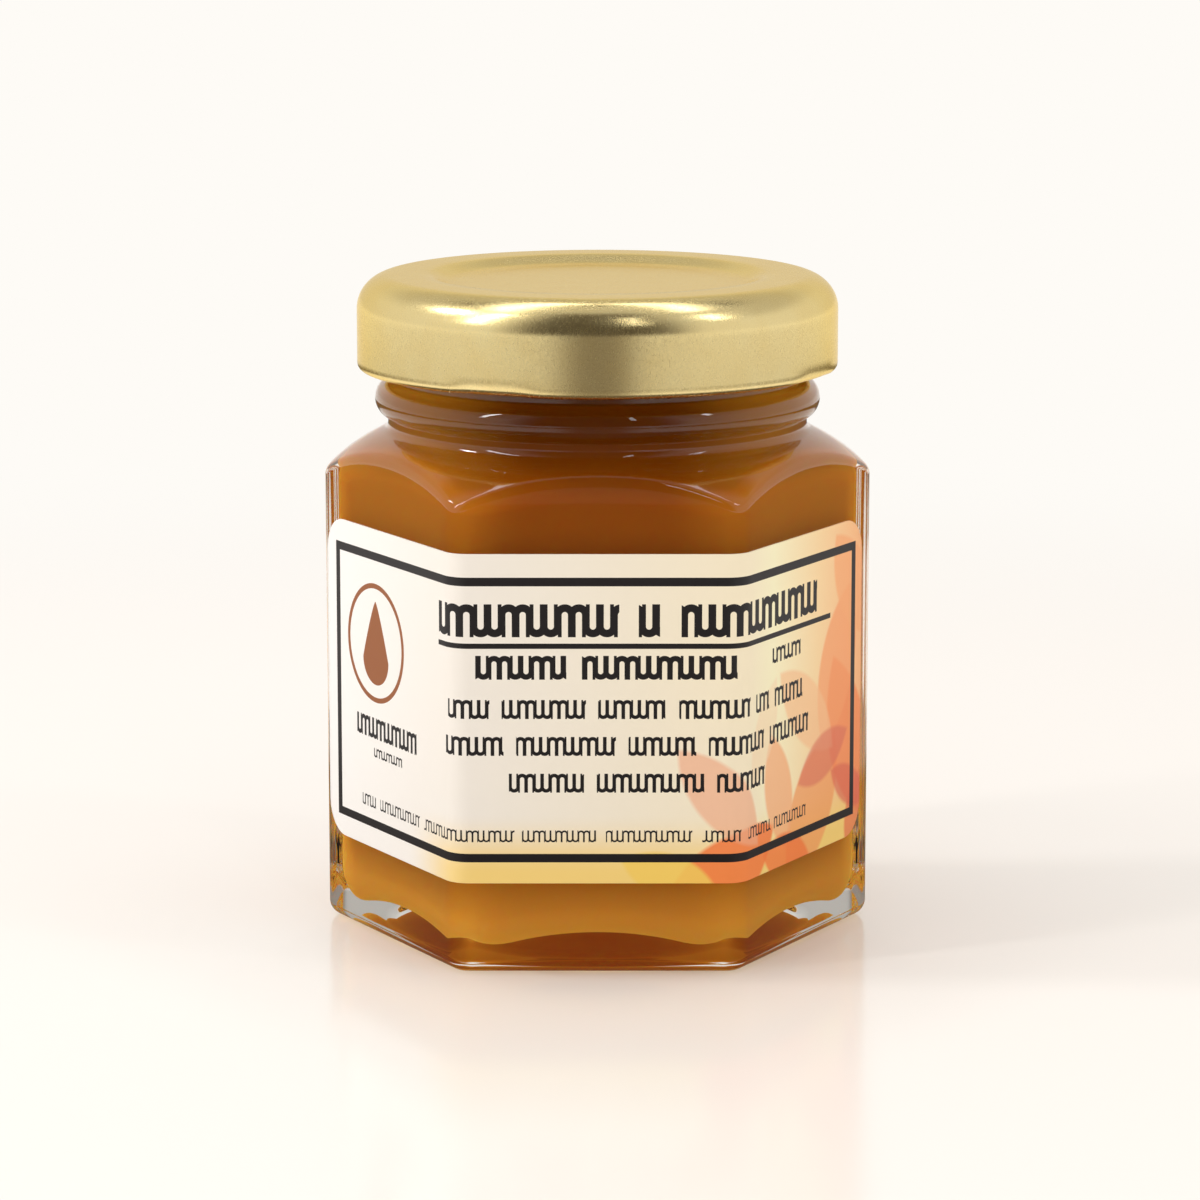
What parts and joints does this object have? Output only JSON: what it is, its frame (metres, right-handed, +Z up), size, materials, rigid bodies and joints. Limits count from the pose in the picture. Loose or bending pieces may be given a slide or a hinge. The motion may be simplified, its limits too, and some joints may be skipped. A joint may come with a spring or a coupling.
{
  "type": "hexagonal glass jar of caramel",
  "caption": "Small hexagonal glass jar filled with caramel, with a wrap-round paper label and a gold twist-off metal lid.",
  "frame": {"origin": "centre of the base, on the surface the jar stands on", "axes": "+Z up along the jar's axis, -Y towards the middle of the label, +X towards a vertical edge"},
  "size_m": [0.0466, 0.0411, 0.0561],
  "materials": {
    "clear_glass": "clear soda-lime glass, fire polished",
    "caramel": "thick translucent caramel",
    "label_paper": "coated paper, printed, slight gloss",
    "gold_lacquer": "tinplate under gold lacquer, satin"
  },
  "bodies": {
    "root": {"glass_jar": "clear_glass", "caramel": "caramel", "label": "label_paper", "lid": "gold_lacquer"}
  },
  "joints": []
}
